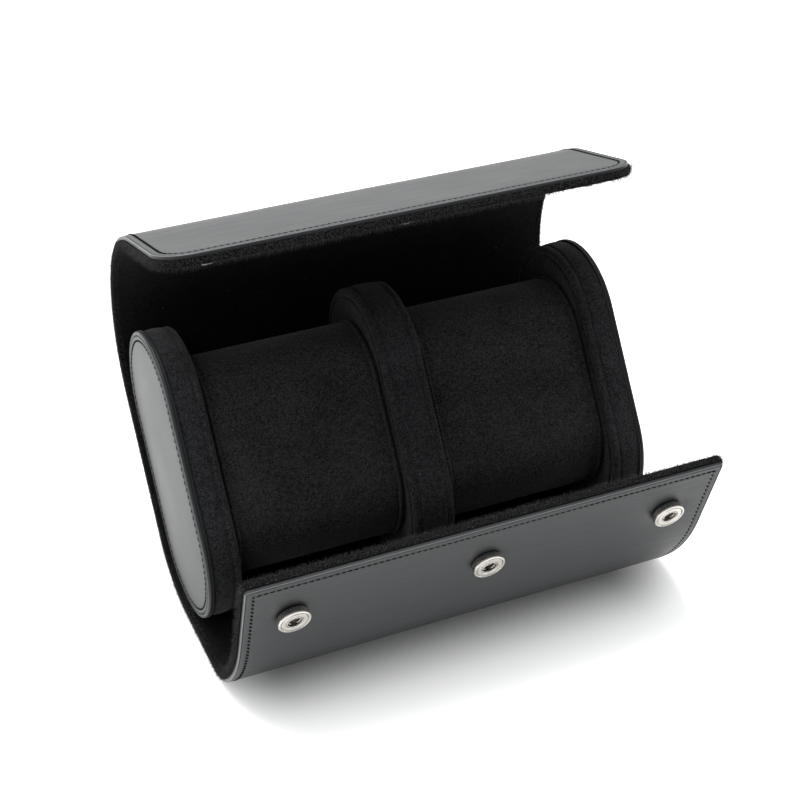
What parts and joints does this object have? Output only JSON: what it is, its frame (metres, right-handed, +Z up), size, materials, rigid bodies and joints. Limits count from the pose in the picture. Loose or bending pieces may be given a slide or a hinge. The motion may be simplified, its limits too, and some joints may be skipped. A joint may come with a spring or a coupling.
{
  "type": "watch travel case",
  "caption": "Leather watch travel roll with oval end caps, a centre divider, lift-out pillows and two flaps that close with press studs.",
  "frame": {"origin": "on the floor, at the middle of the flat strip of the wrap's underside just in front of the caps' lowest line, halfway along the roll", "axes": "+X along the roll towards its right cap, +Y to the back, +Z up"},
  "size_m": [0.165, 0.1366, 0.1422],
  "materials": {
    "outer_leather": "satin",
    "cap_leather": "satin",
    "greyboard": "matte",
    "foam": "matte",
    "suede_lining": "matte",
    "cap_suede": "matte",
    "pillow_suede": "matte",
    "snap_metal": "polished",
    "spring_wire": "satin",
    "plate_metal": "satin"
  },
  "bodies": {
    "case": {"wrap_leather": "outer_leather", "wrap_board": "greyboard", "wrap_lining": "suede_lining", "left_cap_panel": "cap_leather", "left_cap_board": "greyboard", "left_cap_ring": "greyboard", "left_cap_foam": "foam", "left_cap_band": "cap_suede", "left_cap_bead": "cap_suede", "left_cap_face": "cap_suede", "right_cap_panel": "cap_leather", "right_cap_board": "greyboard", "right_cap_ring": "greyboard", "right_cap_foam": "foam", "right_cap_band": "cap_suede", "right_cap_bead": "cap_suede", "right_cap_face": "cap_suede", "divider_core": "foam", "divider_band": "cap_suede", "divider_beads": "cap_suede", "divider_faces": "cap_suede"},
    "front_flap_root": {"front_root_leather": "outer_leather", "front_root_board": "greyboard", "front_root_lining": "suede_lining"},
    "front_flap_tip": {"front_tip_leather": "outer_leather", "front_tip_board": "greyboard", "front_tip_lining": "suede_lining", "snap_sockets": "snap_metal", "socket_springs": "spring_wire", "socket_plates": "plate_metal"},
    "top_flap_root": {"top_root_leather": "outer_leather", "top_root_board": "greyboard", "top_root_lining": "suede_lining"},
    "top_flap_mid": {"top_mid_leather": "outer_leather", "top_mid_board": "greyboard", "top_mid_lining": "suede_lining"},
    "top_flap_tip": {"top_tip_leather": "outer_leather", "top_tip_board": "greyboard", "top_tip_lining": "suede_lining", "snap_studs": "snap_metal", "stud_plates": "plate_metal"},
    "pillow_left": {"left_pillow_foam": "foam", "left_pillow_sleeve": "pillow_suede", "left_pillow_ends": "pillow_suede"},
    "pillow_right": {"right_pillow_foam": "foam", "right_pillow_sleeve": "pillow_suede", "right_pillow_ends": "pillow_suede"}
  },
  "joints": [
    {"name": "front_flap_close", "type": "hinge", "parent": "case", "child": "front_flap_root", "pos_m": [0, -0.006, 0.002], "axis": [1, 0, 0], "range_deg": [-42.6, 0]},
    {"name": "front_edge_bend", "type": "hinge", "parent": "front_flap_root", "child": "front_flap_tip", "pos_m": [0, -0.04701, 0.01884], "axis": [1, 0, 0], "range_deg": [-10.9, 55]},
    {"name": "top_flap_open", "type": "hinge", "parent": "case", "child": "top_flap_root", "pos_m": [0, 0.05921, 0.05547], "axis": [-1, 0, 0], "range_deg": [-18.78, 20]},
    {"name": "top_flap_curl", "type": "hinge", "parent": "top_flap_root", "child": "top_flap_mid", "pos_m": [0, 0.06814, 0.0876], "axis": [-1, 0, 0], "range_deg": [-28.4, 30]},
    {"name": "top_edge_curl", "type": "hinge", "parent": "top_flap_mid", "child": "top_flap_tip", "pos_m": [0, 0.02645, 0.1319], "axis": [-1, 0, 0], "range_deg": [-25.3, 27]},
    {"name": "pillow_left_out", "type": "slide", "parent": "case", "child": "pillow_left", "axis": [0, -0.682, 0.7314], "range_m": [0, 0.09]},
    {"name": "pillow_right_out", "type": "slide", "parent": "case", "child": "pillow_right", "axis": [0, -0.682, 0.7314], "range_m": [0, 0.09]}
  ],
  "couplings": [
    {"joint": "top_flap_curl", "follows": "top_flap_open", "ratio": 1.4862},
    {"joint": "top_edge_curl", "follows": "top_flap_open", "ratio": 1.3211}
  ]
}
